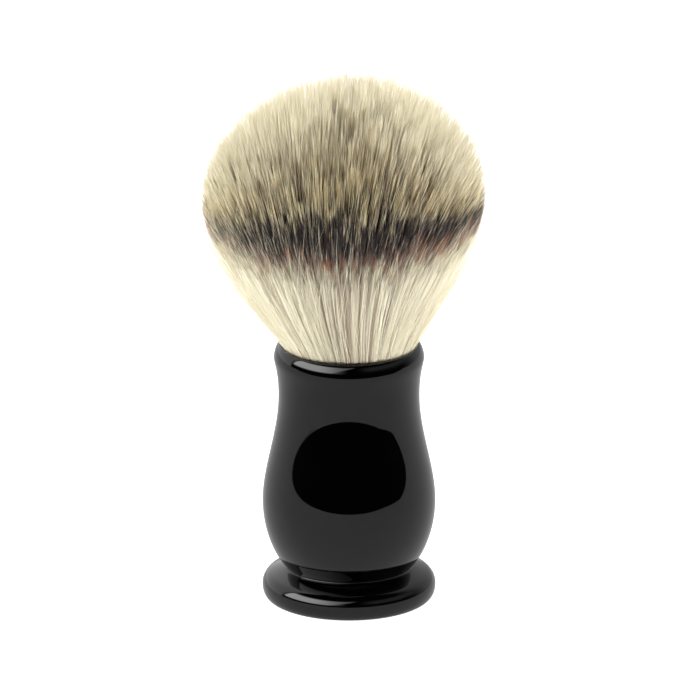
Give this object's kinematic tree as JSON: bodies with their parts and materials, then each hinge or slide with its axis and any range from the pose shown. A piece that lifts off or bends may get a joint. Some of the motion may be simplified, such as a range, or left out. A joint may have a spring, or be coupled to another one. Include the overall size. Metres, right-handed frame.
{
  "type": "shaving brush",
  "caption": "Shaving brush standing upright: turned black resin handle with flared lip, waist and foot, and a fan-shaped knot of banded filaments glued in its socket.",
  "frame": {"origin": "centre of the foot's underside, on the surface that the brush stands on", "axes": "+Z along the handle's axis, from the foot up to the tips of the knot; -Y towards the viewer; the brush is round, so X and Y are alike"},
  "size_m": [0.0572, 0.0572, 0.11],
  "materials": {
    "handle_resin": "polished",
    "socket_glue": "satin",
    "plug_resin": "gloss",
    "binding_thread": "matte",
    "filaments": "satin"
  },
  "bodies": {
    "root": {"handle": "handle_resin", "socket_glue_bed": "socket_glue", "knot_plug": "plug_resin", "binding_thread": "binding_thread", "knot_core_tuft": "filaments", "knot_inner_tuft_1": "filaments", "knot_inner_tuft_2": "filaments", "knot_inner_tuft_3": "filaments", "knot_inner_tuft_4": "filaments", "knot_inner_tuft_5": "filaments", "knot_inner_tuft_6": "filaments", "knot_outer_tuft_1": "filaments", "knot_outer_tuft_2": "filaments", "knot_outer_tuft_3": "filaments", "knot_outer_tuft_4": "filaments", "knot_outer_tuft_5": "filaments", "knot_outer_tuft_6": "filaments", "knot_outer_tuft_7": "filaments", "knot_outer_tuft_8": "filaments", "knot_outer_tuft_9": "filaments", "knot_outer_tuft_10": "filaments", "knot_outer_tuft_11": "filaments", "knot_outer_tuft_12": "filaments"}
  },
  "joints": []
}
